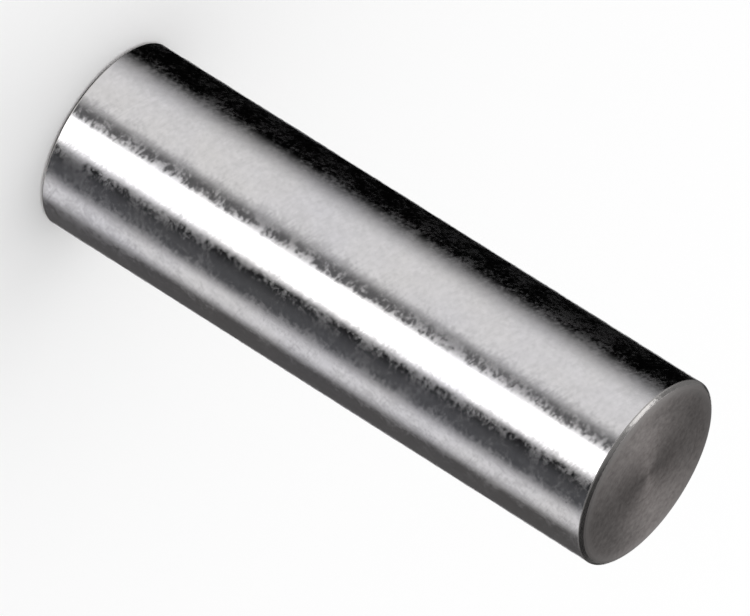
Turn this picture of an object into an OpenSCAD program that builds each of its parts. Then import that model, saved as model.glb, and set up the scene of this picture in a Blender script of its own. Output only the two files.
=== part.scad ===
// Piston pin: a solid, hardened and ground steel pin that joins a small piston to its rod.
// One piece, turned from bar. It stands on one end with its axis along Z.
// All lengths are in millimetres.

/* [Pin] */
// Diameter of the ground side
pin_d = 10; // [5:0.5:25]
// Length over the two end faces
pin_l = 33; // [15:1:100]

/* [End edges] */
// Width of the chamfer across the end face
chamfer_w = 0.24; // [0.2:0.02:0.8]
// Height of the chamfer along the side
chamfer_h = 0.18; // [0.14:0.02:0.8]
// Radius that rolls the end face off into the chamfer
face_blend_r = 0.36; // [0.04:0.04:0.4]
// Radius that breaks the edge between the chamfer and the side
side_blend_r = 0.08; // [0.02:0.02:0.08]

/* [Hidden] */
$fn = 180;

pin_r = pin_d / 2;
half_l = pin_l / 2;

// Directions square to the side, the chamfer and the end face in the half-section
side_normal = [1, 0];
chamfer_normal = [chamfer_h, chamfer_w] / norm([chamfer_h, chamfer_w]);
face_normal = [0, 1];

// Length that a blend takes up on either side of the corner it rounds
function blend_run(radius, normal_a, normal_b) =
    radius * norm(normal_a - normal_b) / norm(normal_a + normal_b);

// Centres of the two blends, as radius and height above mid-length
face_blend_centre = [
    pin_r - chamfer_w - blend_run(face_blend_r, chamfer_normal, face_normal),
    half_l - face_blend_r,
];
side_blend_centre = [
    pin_r - side_blend_r,
    half_l - chamfer_h - blend_run(side_blend_r, side_normal, chamfer_normal),
];

// Half-section of one end, from mid-length up, with each corner cut back to its blend's centre
end_outline = [
    [0, 0],
    [pin_r, 0],
    side_blend_centre + side_blend_r * side_normal,
    side_blend_centre,
    side_blend_centre + side_blend_r * chamfer_normal,
    face_blend_centre + face_blend_r * chamfer_normal,
    face_blend_centre,
    face_blend_centre + face_blend_r * face_normal,
    [0, half_l],
];

// The slice of a disc that rounds a corner, between the directions square to the corner's two edges
module blend_slice(centre, radius, normal_a, normal_b) {
    reach = 2 * radius;
    intersection() {
        translate(centre) circle(radius);
        polygon([
            centre,
            centre + reach * normal_a,
            centre + reach * (normal_a + normal_b),
            centre + reach * normal_b,
        ]);
    }
}

module end_section() {
    polygon(end_outline);
    blend_slice(side_blend_centre, side_blend_r, side_normal, chamfer_normal);
    blend_slice(face_blend_centre, face_blend_r, chamfer_normal, face_normal);
}

// Both ends are alike and meet at mid-length
module half_section() {
    end_section();
    mirror([0, 1]) end_section();
}

module piston_pin() {
    color([0.74, 0.74, 0.75])
        translate([0, 0, half_l])
            rotate_extrude() half_section();
}

piston_pin();
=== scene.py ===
"""Piston pin: a ground and polished steel pin that stands on one end in a plain white studio."""
import math

import bmesh
import bpy
from mathutils import Matrix, Vector


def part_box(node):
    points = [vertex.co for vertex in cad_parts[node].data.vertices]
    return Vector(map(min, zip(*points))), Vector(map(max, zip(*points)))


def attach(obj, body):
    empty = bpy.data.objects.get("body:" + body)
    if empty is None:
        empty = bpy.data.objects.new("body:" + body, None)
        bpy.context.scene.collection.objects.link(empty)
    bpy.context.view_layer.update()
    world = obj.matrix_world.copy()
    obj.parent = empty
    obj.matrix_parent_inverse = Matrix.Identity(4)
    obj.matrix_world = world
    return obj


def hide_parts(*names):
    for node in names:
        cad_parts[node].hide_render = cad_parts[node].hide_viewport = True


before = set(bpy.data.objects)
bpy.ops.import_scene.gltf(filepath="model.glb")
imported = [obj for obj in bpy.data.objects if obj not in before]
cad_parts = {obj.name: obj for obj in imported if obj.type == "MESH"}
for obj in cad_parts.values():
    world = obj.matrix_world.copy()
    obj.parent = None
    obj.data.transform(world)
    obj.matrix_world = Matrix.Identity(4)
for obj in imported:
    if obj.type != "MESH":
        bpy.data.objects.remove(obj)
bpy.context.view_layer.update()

# Sizes of the pin, in metres
MM = 0.001
pin_low, pin_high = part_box("piston_pin")
ROUNDING = 0.0001 * MM
PIN_R = min(-pin_low[0], pin_high[0], -pin_low[1], pin_high[1])
PIN_L = pin_high[2] - pin_low[2] - ROUNDING
PIN_MIDDLE = Vector((0, 0, PIN_L / 2))
CHAMFER_W = 0.24 * MM
CHAMFER_H = 0.18 * MM
CHAMFER_SLOPE = math.atan2(CHAMFER_H, CHAMFER_W)
FACE_BLEND_R = 0.36 * MM
SIDE_BLEND_R = 0.08 * MM
FACE_BLEND_RUN = FACE_BLEND_R * math.tan(CHAMFER_SLOPE / 2)
SIDE_BLEND_RUN = SIDE_BLEND_R * math.tan((math.pi / 2 - CHAMFER_SLOPE) / 2)

# How finely the pin is meshed, with the insets of an end face from its border to its middle
AROUND = 256
FACE_BLEND_STEPS = 10
SIDE_BLEND_STEPS = 6
FACE_RINGS = (0.03 * MM, 1.5 * MM, 1.5 * MM, 1.2 * MM)
TINY = 0.002 * MM
NEARLY_FLAT = 0.9999

# The photograph's frame, and where the pin lies in it
FRAME_W, FRAME_H = 750, 616
PIN_CENTRE_PX = (375.52, 302.57)
PX_PER_DIAMETER = 211.6
AXIS_FROM_SIGHT = math.radians(66.365)
AXIS_TURN = math.radians(32.243)
CAMERA_DISTANCE = 0.926
CAMERA_CLIP = (0.1, 10)
SENSOR = 36.0


# Small helpers

def deselect_all():
    bpy.ops.object.select_all(action="DESELECT")


def choose(kind, test):
    """In edit mode, selects only the vertices, edges or faces of the mesh that pass the test."""
    mode = {"verts": "VERT", "edges": "EDGE", "faces": "FACE"}[kind]
    bpy.ops.mesh.select_mode(type=mode)
    bpy.ops.mesh.select_all(action="DESELECT")
    mesh = bpy.context.edit_object.data
    shape = bmesh.from_edit_mesh(mesh)
    for item in getattr(shape, kind):
        if test(item):
            item.select_set(True)
    bmesh.update_edit_mesh(mesh)


def from_axis(point):
    return math.hypot(point.x, point.y)


def ring_at(radius, height):
    """A test for the edges of one ring round the axis."""
    def on_ring(edge):
        return all(
            abs(from_axis(v.co) - radius) < TINY and abs(v.co.z - height) < TINY for v in edge.verts
        )
    return on_ring


def end_face(inward):
    """A test for the one flat face that closes an end."""
    return lambda face: face.normal.z * -inward > NEARLY_FLAT and len(face.verts) == AROUND


def grey(level):
    return (level, level, level, 1)


def in_radians(angles):
    return [math.radians(angle) for angle in angles]


# The pin

def cut_chamfer(end_z, inward):
    """Insets an end face by the chamfer's width, then drops the rim along the side."""
    choose("faces", end_face(inward))
    bpy.ops.mesh.inset(thickness=CHAMFER_W)
    choose("verts", lambda v: abs(v.co.z - end_z) < TINY and from_axis(v.co) > PIN_R - TINY)
    bpy.ops.transform.translate(value=(0, 0, inward * CHAMFER_H))


def round_ring(radius, height, run, steps):
    """Rounds one ring of the edge."""
    choose("edges", ring_at(radius, height))
    bpy.ops.mesh.bevel(offset_type="OFFSET", offset=run, segments=steps, profile=0.5, affect="EDGES")


def ring_end_face(inward):
    """Gives an end face a narrow border and a few rings, closed by a pole."""
    choose("faces", end_face(inward))
    for step in FACE_RINGS:
        bpy.ops.mesh.inset(thickness=step)
    bpy.ops.mesh.poke()


def turned_pin():
    """A cylinder whose two ends get their chamfer, roll-off and edge break."""
    deselect_all()
    bpy.ops.mesh.primitive_cylinder_add(
        vertices=AROUND, radius=PIN_R, depth=PIN_L, end_fill_type="NGON", location=PIN_MIDDLE
    )
    pin = bpy.context.object
    pin.name = "polished_pin"
    pin.data.name = "polished_pin"
    bpy.ops.object.transform_apply(location=True, rotation=True, scale=True)
    bpy.ops.object.mode_set(mode="EDIT")
    for end_z, inward in ((PIN_L, -1), (0.0, 1)):
        cut_chamfer(end_z, inward)
        round_ring(PIN_R - CHAMFER_W, end_z, FACE_BLEND_RUN, FACE_BLEND_STEPS)
        round_ring(PIN_R, end_z + inward * CHAMFER_H, SIDE_BLEND_RUN, SIDE_BLEND_STEPS)
        ring_end_face(inward)
    bpy.ops.mesh.select_all(action="SELECT")
    bpy.ops.mesh.normals_make_consistent(inside=False)
    bpy.ops.object.mode_set(mode="OBJECT")
    bpy.ops.object.shade_smooth()
    normals = pin.modifiers.new("even_normals", "WEIGHTED_NORMAL")
    normals.mode = "FACE_AREA"
    normals.weight = 100
    bpy.ops.object.modifier_apply(modifier=normals.name)
    return pin


# Nodes

def new_material(name):
    material = bpy.data.materials.new(name)
    material.use_nodes = True
    tree = material.node_tree
    return material, tree, tree.nodes["Principled BSDF"]


def fill(tree, sockets, values):
    """Sets inputs to their values. A value that is itself a socket is linked."""
    for key, value in values.items():
        if isinstance(value, bpy.types.NodeSocket):
            tree.links.new(value, sockets[key])
        else:
            sockets[key].default_value = value


def add(tree, kind, inputs=None, **settings):
    """Adds a node with its settings and inputs."""
    node = tree.nodes.new(kind)
    for key, value in settings.items():
        setattr(node, key, value)
    fill(tree, node.inputs, inputs or {})
    return node


def maths(tree, operation, first, second=0.0):
    return add(tree, "ShaderNodeMath", {0: first, 1: second}, operation=operation).outputs[0]


def vectors(tree, operation, first, second=(0, 0, 0)):
    return add(tree, "ShaderNodeVectorMath", {0: first, 1: second}, operation=operation).outputs["Vector"]


def scaled(tree, vector, factor):
    node = add(tree, "ShaderNodeVectorMath", {0: vector, "Scale": factor}, operation="SCALE")
    return node.outputs["Vector"]


def ranged(tree, value, low, high, to_low=0.0, to_high=1.0):
    """Moves a value from one range to another, and holds it there."""
    limits = {"Value": value, "From Min": low, "From Max": high, "To Min": to_low, "To Max": to_high}
    return add(tree, "ShaderNodeMapRange", limits).outputs[0]


def soft_step(tree, value, low, high):
    """Rises smoothly from nothing to one between two values."""
    limits = {"Value": value, "From Min": low, "From Max": high}
    return add(tree, "ShaderNodeMapRange", limits, interpolation_type="SMOOTHSTEP").outputs[0]


def between(tree, value, edges):
    """One between two soft edges, each given by where it starts and ends."""
    start, full, fading, end = edges
    rise = soft_step(tree, value, start, full)
    return maths(tree, "SUBTRACT", rise, soft_step(tree, value, fading, end))


def mixed(tree, factor, first, second):
    """Mixes two colours."""
    mix = add(tree, "ShaderNodeMix", data_type="RGBA")
    inputs = {socket.identifier: socket for socket in mix.inputs}
    outputs = {socket.identifier: socket for socket in mix.outputs}
    fill(tree, inputs, {"Factor_Float": factor, "A_Color": first, "B_Color": second})
    return outputs["Result_Color"]


def round_zero(tree, value):
    """Shifts a value between 0 and 1 so that it lies round zero."""
    return maths(tree, "SUBTRACT", value, 0.5)


def grain(tree, place, size, detail=2.0, roughness=0.5, flatter=1.0):
    """Cloudy noise round zero, with spots of about the given size, over flatter along the axis."""
    inputs = {
        "Vector": vectors(tree, "MULTIPLY", place, (1, 1, flatter)),
        "Scale": 1 / size,
        "Detail": detail,
        "Roughness": roughness,
    }
    return round_zero(tree, add(tree, "ShaderNodeTexNoise", inputs).outputs[0])


def summed(tree, parts):
    """Adds up values, each times its strength."""
    total = None
    for value, strength in parts:
        part = maths(tree, "MULTIPLY", value, strength)
        total = part if total is None else maths(tree, "ADD", total, part)
    return total


def leaning_normal(tree, direction, amount):
    """The surface normal, leant by an amount along a direction."""
    normal = add(tree, "ShaderNodeNewGeometry").outputs["Normal"]
    lean = scaled(tree, direction, amount)
    return vectors(tree, "NORMALIZE", vectors(tree, "ADD", normal, lean))


def round_the_axis(tree, place):
    """The direction round the pin's axis."""
    return vectors(tree, "NORMALIZE", vectors(tree, "CROSS_PRODUCT", (0, 0, 1), place))


def outward(tree, place):
    """The way from the pin's axis to a place."""
    return vectors(tree, "MULTIPLY", place, (1, 1, 0))


def radius_at(tree, place):
    """How far a place is from the pin's axis."""
    node = add(tree, "ShaderNodeVectorMath", {0: outward(tree, place)}, operation="LENGTH")
    return node.outputs["Value"]


# Finish of the ground side: sizes of its marks, how far from the middle the ends get hazy, and colours
SPECK = 0.23 * MM
MOTTLE = 0.36 * MM
PATCH = 1.2 * MM
CLOUD = 4 * MM
TEMPER_CLOUD = 5 * MM
STREAK = 0.14 * MM
STREAK_LEAD = 14 * MM
PIT_R = 0.036 * MM
PIT_SPACING = 0.8 * MM
WITHOUT_PIT = 0.9
HAZY_ENDS = (6 * MM, 15 * MM)
HAZE_RANGE = (-0.14, 0.20)
SIDE_ROUGHNESS = (0.085, 0.27)
TEMPER_RANGE = (-0.14, 0.14)
WARM_STEEL = (0.808, 0.789, 0.787, 1)
COOL_STEEL = (0.797, 0.783, 0.811, 1)
TONE_RANGE = (-0.3, 0.3)
DULL_SHARE = (0.0, 0.2)
DULL_STEEL = grey(0.36)


def grinding_streaks(tree, place, height):
    """Fine streaks that wind up the side."""
    twist = maths(tree, "MULTIPLY", height, 2 * math.pi / STREAK_LEAD)
    twisted = add(tree, "ShaderNodeVectorRotate", {"Vector": place, "Angle": twist}, rotation_type="Z_AXIS")
    return grain(tree, twisted.outputs[0], STREAK, detail=1.0, flatter=0.15)


def small_pits(tree, place):
    """A few round pits, each with a slope of its own."""
    cells = add(tree, "ShaderNodeTexVoronoi", {"Vector": place, "Scale": 1 / PIT_SPACING})
    draws = add(tree, "ShaderNodeSeparateColor", {0: cells.outputs["Color"]}).outputs
    near = maths(tree, "LESS_THAN", cells.outputs["Distance"], PIT_R / PIT_SPACING)
    rare = maths(tree, "GREATER_THAN", draws[0], WITHOUT_PIT)
    slope = round_zero(tree, draws[1])
    return maths(tree, "MULTIPLY", maths(tree, "MULTIPLY", near, rare), slope)


def ground_side():
    """Ground and polished steel: cloudy haze with specks, helical streaks and a few pits."""
    material, tree, shader = new_material("ground_side")
    place = add(tree, "ShaderNodeTexCoord").outputs["Object"]
    height = add(tree, "ShaderNodeSeparateXYZ", {0: place}).outputs["Z"]
    specks = grain(tree, place, SPECK, flatter=1.15)
    mottle = grain(tree, place, MOTTLE, detail=1.0)
    patches = grain(tree, place, PATCH, flatter=1.2)
    clouds = grain(tree, place, CLOUD, flatter=0.6)
    temper = grain(tree, place, TEMPER_CLOUD, detail=3.0, flatter=0.7)
    streaks = grinding_streaks(tree, place, height)
    pits = small_pits(tree, place)
    off_middle = maths(tree, "ABSOLUTE", maths(tree, "SUBTRACT", height, PIN_L / 2))
    ends = ranged(tree, off_middle, *HAZY_ENDS)
    haze = summed(tree, ((specks, 1.0), (patches, 0.8), (clouds, 0.6), (streaks, 0.3), (ends, 0.06)))
    tone = summed(tree, ((mottle, 1.0), (specks, 0.3), (streaks, 0.3), (clouds, 0.2)))
    lean = summed(tree, ((specks, 0.03), (patches, 0.02), (streaks, 0.03), (pits, 0.3)))
    hue = mixed(tree, ranged(tree, temper, *TEMPER_RANGE), WARM_STEEL, COOL_STEEL)
    fill(tree, shader.inputs, {
        "Metallic": 1,
        "Roughness": ranged(tree, haze, *HAZE_RANGE, *SIDE_ROUGHNESS),
        "Base Color": mixed(tree, ranged(tree, tone, *TONE_RANGE, *DULL_SHARE), hue, DULL_STEEL),
        "Normal": leaning_normal(tree, round_the_axis(tree, place), lean),
    })
    return material


# Finish of the chamfer and edge break: sizes of its marks, the radii where the rim gets dull, and colours
EDGE_GRAIN = 0.15 * MM
NICK = 0.6 * MM
NICK_RANGE = (-0.3, 0.3)
RIM = (PIN_R - 0.04 * MM, PIN_R - 0.01 * MM)
EDGE_ROUGHNESS = (0.18, 0.26)
EDGE_DARK = (0.63, 0.607, 0.595, 1)
EDGE_LIGHT = (0.73, 0.707, 0.695, 1)


def broken_edge():
    """The polished chamfer and edge break, with fine nicks, and duller at the rim."""
    material, tree, shader = new_material("broken_edge")
    place = add(tree, "ShaderNodeTexCoord").outputs["Object"]
    fine = grain(tree, place, EDGE_GRAIN)
    nicks = grain(tree, place, NICK, detail=3.0, roughness=0.7)
    lean = summed(tree, ((fine, 0.12), (nicks, 0.06)))
    worn = ranged(tree, nicks, *NICK_RANGE, *EDGE_ROUGHNESS)
    rim = ranged(tree, radius_at(tree, place), *RIM)
    fill(tree, shader.inputs, {
        "Metallic": 1,
        "Roughness": summed(tree, ((worn, 1.0), (rim, 0.2))),
        "Base Color": mixed(tree, ranged(tree, nicks, *NICK_RANGE), EDGE_DARK, EDGE_LIGHT),
        "Normal": leaning_normal(tree, round_the_axis(tree, place), lean),
    })
    return material


# Finish of the end faces: sizes of its marks, the radii where it changes, and colours
FACE_CLOUD = 1.2 * MM
SPECKLE = 0.30 * MM
TURNING_LINE = 0.11 * MM
TURNING_LEAN = 0.15
CENTRE = (0.2 * MM, 0.7 * MM)
BAND = (2.5 * MM, 3.0 * MM)
WORN = (4.2 * MM, 4.7 * MM)
MIDDLE = (1.6 * MM, 3.2 * MM)
MIDDLE_ROUGHNESS = (0.69, 0.46)
FACE_TONE_RANGE = (-0.4, 0.4)
FACE_DARK = (0.298, 0.272, 0.265, 1)
FACE_LIGHT = (0.453, 0.419, 0.409, 1)
FACE_WORN = (0.48, 0.456, 0.447, 1)


def turning_lines(tree, radius):
    """Concentric lines round zero."""
    inputs = {"W": radius, "Scale": 1 / TURNING_LINE, "Detail": 2.0}
    return round_zero(tree, add(tree, "ShaderNodeTexNoise", inputs, noise_dimensions="1D").outputs[0])


def turned_end():
    """The end face: dull from hardening, with turning lines, and worn brighter where it rolls off."""
    material, tree, shader = new_material("turned_end")
    place = add(tree, "ShaderNodeTexCoord").outputs["Object"]
    radius = radius_at(tree, place)
    clouds = grain(tree, place, FACE_CLOUD, detail=3.0, roughness=0.6)
    speckle = grain(tree, place, SPECKLE, detail=3.0, roughness=0.65)
    turning = turning_lines(tree, radius)
    centre = ranged(tree, radius, *CENTRE, 1.0, 0.0)
    band = ranged(tree, radius, *BAND)
    worn = ranged(tree, radius, *WORN)
    middle = ranged(tree, radius, *MIDDLE, *MIDDLE_ROUGHNESS)
    tone = summed(tree, ((clouds, 0.7), (speckle, 2.0), (turning, 0.25), (band, 0.06), (centre, 0.34)))
    tint = mixed(tree, ranged(tree, tone, *FACE_TONE_RANGE), FACE_DARK, FACE_LIGHT)
    lean = maths(tree, "MULTIPLY", turning, TURNING_LEAN)
    along_lines = add(tree, "ShaderNodeTangent", direction_type="RADIAL", axis="Z")
    fill(tree, shader.inputs, {
        "Metallic": 1,
        "Anisotropic": 0.6,
        "Anisotropic Rotation": 0.25,
        "Tangent": along_lines.outputs[0],
        "Roughness": summed(tree, ((clouds, 0.25), (middle, 1.0), (worn, 0.14), (centre, 0.2))),
        "Base Color": mixed(tree, worn, tint, FACE_WORN),
        "Normal": leaning_normal(tree, vectors(tree, "NORMALIZE", outward(tree, place)), lean),
    })
    return material


# A face gets the edge's or the end's finish where its normal rises or falls by more than this
EDGE_FINISH_FROM = 0.001
END_FINISH_FROM = 0.90


def finish_pin(pin):
    """Gives the side, the edges and the end faces their own finishes."""
    for material in (ground_side(), broken_edge(), turned_end()):
        pin.data.materials.append(material)
    for face in pin.data.polygons:
        rise = abs(face.normal.z)
        if rise > END_FINISH_FROM:
            face.material_index = 2
        elif rise > EDGE_FINISH_FROM:
            face.material_index = 1
        else:
            face.material_index = 0


# Studio
WHITE = grey(0.978)
DOME = grey(0.93)
FLOOR_WHITE = grey(0.95)
FLOOR_SIZE = 4.0
SOFTBOX_DISTANCE = 0.6
SOFTBOXES = {
    "key": {"toward": (-0.45, 0.06, 0.89), "side": 0.22, "radiance": 1.0},
    "rear": {"toward": (-0.12, 0.55, 0.82), "side": 0.30, "radiance": 1.2},
}

# Screens that the polished metal mirrors, in front of black cloth. Each has the azimuths, in degrees from
# the camera's side towards +X, where its first edge starts and ends and where its last edge starts and
# ends, and its colour. A later one hides an earlier one.
BLACK_CLOTH = grey(0.001)
SCREENS = {
    "gap_card": ((-18, -8, 2, 10), (0.125, 0.125, 0.127, 1)),
    "dim_wall": ((36, 64, 95, 110), (0.083, 0.085, 0.090, 1)),
    "warm_wall": ((95, 110, 160, 170), (0.087, 0.085, 0.085, 1)),
    "left_card": ((-104, -58, -24, -7), grey(0.81)),
    "right_card": ((70, 92, 98, 121), (0.76, 0.76, 0.77, 1)),
}

# The strip light hides the screens, and a card hangs above it
STRIP_EDGES = (0, 9, 25, 42)
STRIP_TOP = (-0.31, -0.25)
STRIP_LIGHT = grey(2.7)
STRIP_CARD = grey(0.70)

# The walls above, with a round flag and a round card, and what stands behind the pin. Sides are azimuths
# on either hand, in degrees, and a height is how far a mirrored direction rises, from -1 to 1.
HORIZON = (-0.05, 0.1)
GREY_WALL = grey(0.18)
BLACK_FLAG = grey(0.015)
HIGH_FLAG = {"toward": (0.55, 0.45, 0.70), "angles": (31, 52)}
RIM_CARD_GREY = grey(0.60)
RIM_CARD = {"toward": (-0.75, -0.35, 0.55), "angles": (18, 38)}
BACKDROP = grey(0.95)
BACKDROP_SIDES = (163, 170)
NEAR_RIM_FLAG = {"sides": (143, 156), "heights": (-0.22, -0.16, 0.0, 0.12)}
FAR_RIM_FLAG = {"sides": (125, 150), "heights": (-1.2, -1.1, -0.70, -0.54)}


def studio_floor():
    """A matt white floor. The metal mirrors the studio's screens in its place."""
    deselect_all()
    bpy.ops.mesh.primitive_plane_add(size=FLOOR_SIZE)
    floor = bpy.context.object
    floor.name = "floor"
    material, tree, shader = new_material("floor_white")
    fill(tree, shader.inputs, {"Base Color": FLOOR_WHITE, "Roughness": 1, "Specular IOR Level": 0})
    floor.data.materials.append(material)
    floor.visible_glossy = False


def softbox(name, toward, side, radiance):
    """A square area lamp that looks at the middle of the pin from a direction."""
    lamp = bpy.data.lights.new(name, "AREA")
    lamp.shape = "SQUARE"
    lamp.size = side
    lamp.energy = radiance * math.pi * side ** 2
    box = bpy.data.objects.new(name, lamp)
    bpy.context.scene.collection.objects.link(box)
    direction = Vector(toward).normalized()
    box.location = PIN_MIDDLE + direction * SOFTBOX_DISTANCE
    box.rotation_mode = "QUATERNION"
    box.rotation_quaternion = direction.to_track_quat("Z", "Y")
    box.visible_camera = False


def behind(tree, azimuth, sides):
    """One behind the pin, with the same soft edge on either side."""
    return soft_step(tree, maths(tree, "ABSOLUTE", azimuth), *in_radians(sides))


def screens_below(tree, azimuth, height):
    """The ring of screens that the side mirrors, with the white backdrop behind the pin."""
    colour = BLACK_CLOTH
    for edges, screen in SCREENS.values():
        colour = mixed(tree, between(tree, azimuth, in_radians(edges)), colour, screen)
    strip = mixed(tree, soft_step(tree, height, *STRIP_TOP), STRIP_LIGHT, STRIP_CARD)
    colour = mixed(tree, between(tree, azimuth, in_radians(STRIP_EDGES)), colour, strip)
    return mixed(tree, behind(tree, azimuth, BACKDROP_SIDES), colour, BACKDROP)


def round_spot(tree, look, toward, angles):
    """One inside a round spot on the studio's walls, fading to nothing between two angles."""
    middle = Vector(toward).normalized()
    inner, outer = in_radians(angles)
    facing = add(tree, "ShaderNodeVectorMath", {0: look, 1: middle}, operation="DOT_PRODUCT")
    return soft_step(tree, facing.outputs["Value"], math.cos(outer), math.cos(inner))


def walls_above(tree, look):
    """Grey walls, with a black flag behind on the right and a card on the left for the rim's glint."""
    colour = mixed(tree, round_spot(tree, look, **HIGH_FLAG), GREY_WALL, BLACK_FLAG)
    return mixed(tree, round_spot(tree, look, **RIM_CARD), colour, RIM_CARD_GREY)


def flag_behind(tree, azimuth, height, sides, heights):
    """One inside a flag behind the pin, which draws a rim dark against the white."""
    return maths(tree, "MULTIPLY", behind(tree, azimuth, sides), between(tree, height, heights))


def studio_world():
    """A white dome that lights the floor. The polished metal sees the studio's screens in it."""
    world = bpy.data.worlds.new("studio")
    bpy.context.scene.world = world
    world.use_nodes = True
    tree = world.node_tree
    tree.nodes.clear()
    look = add(tree, "ShaderNodeTexCoord").outputs["Generated"]
    axes = add(tree, "ShaderNodeSeparateXYZ", {0: look}).outputs
    height = axes["Z"]
    azimuth = maths(tree, "ARCTAN2", axes["X"], maths(tree, "MULTIPLY", axes["Y"], -1.0))
    low = screens_below(tree, azimuth, height)
    mirrored = mixed(tree, ranged(tree, height, *HORIZON), low, walls_above(tree, look))
    for flag in (NEAR_RIM_FLAG, FAR_RIM_FLAG):
        mirrored = mixed(tree, flag_behind(tree, azimuth, height, **flag), mirrored, BLACK_FLAG)
    path = add(tree, "ShaderNodeLightPath").outputs
    lit = mixed(tree, path["Is Glossy Ray"], DOME, mirrored)
    open_view = maths(tree, "MAXIMUM", path["Is Camera Ray"], path["Is Transmission Ray"])
    background = add(tree, "ShaderNodeBackground", {"Color": mixed(tree, open_view, lit, WHITE)})
    add(tree, "ShaderNodeOutputWorld", {"Surface": background.outputs[0]})


def photo_camera():
    """Places the camera so that the pin falls where it does in the photograph."""
    away = Vector((0, math.sin(AXIS_FROM_SIGHT), -math.cos(AXIS_FROM_SIGHT)))
    along = Vector((0, math.cos(AXIS_FROM_SIGHT), math.sin(AXIS_FROM_SIGHT)))
    across = Vector((1, 0, 0))
    right = along * math.cos(AXIS_TURN) - across * math.sin(AXIS_TURN)
    up = -along * math.sin(AXIS_TURN) - across * math.cos(AXIS_TURN)
    scale = 2 * PIN_R / PX_PER_DIAMETER
    off_x = (PIN_CENTRE_PX[0] - FRAME_W / 2) * scale
    off_y = (PIN_CENTRE_PX[1] - FRAME_H / 2) * scale
    data = bpy.data.cameras.new("camera")
    data.sensor_fit = "HORIZONTAL"
    data.sensor_width = SENSOR
    data.lens = CAMERA_DISTANCE / scale * SENSOR / FRAME_W
    data.clip_start, data.clip_end = CAMERA_CLIP
    camera = bpy.data.objects.new("camera", data)
    bpy.context.scene.collection.objects.link(camera)
    place = PIN_MIDDLE - right * off_x + up * off_y - away * CAMERA_DISTANCE
    turn = Matrix((right, up, -away)).transposed()
    camera.matrix_world = Matrix.Translation(place) @ turn.to_4x4()
    bpy.context.scene.camera = camera


pin = turned_pin()
finish_pin(pin)
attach(pin, "root")
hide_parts("piston_pin")

studio_floor()
for name, box in SOFTBOXES.items():
    softbox(name, **box)
studio_world()
photo_camera()
bpy.context.scene.view_settings.view_transform = "Standard"
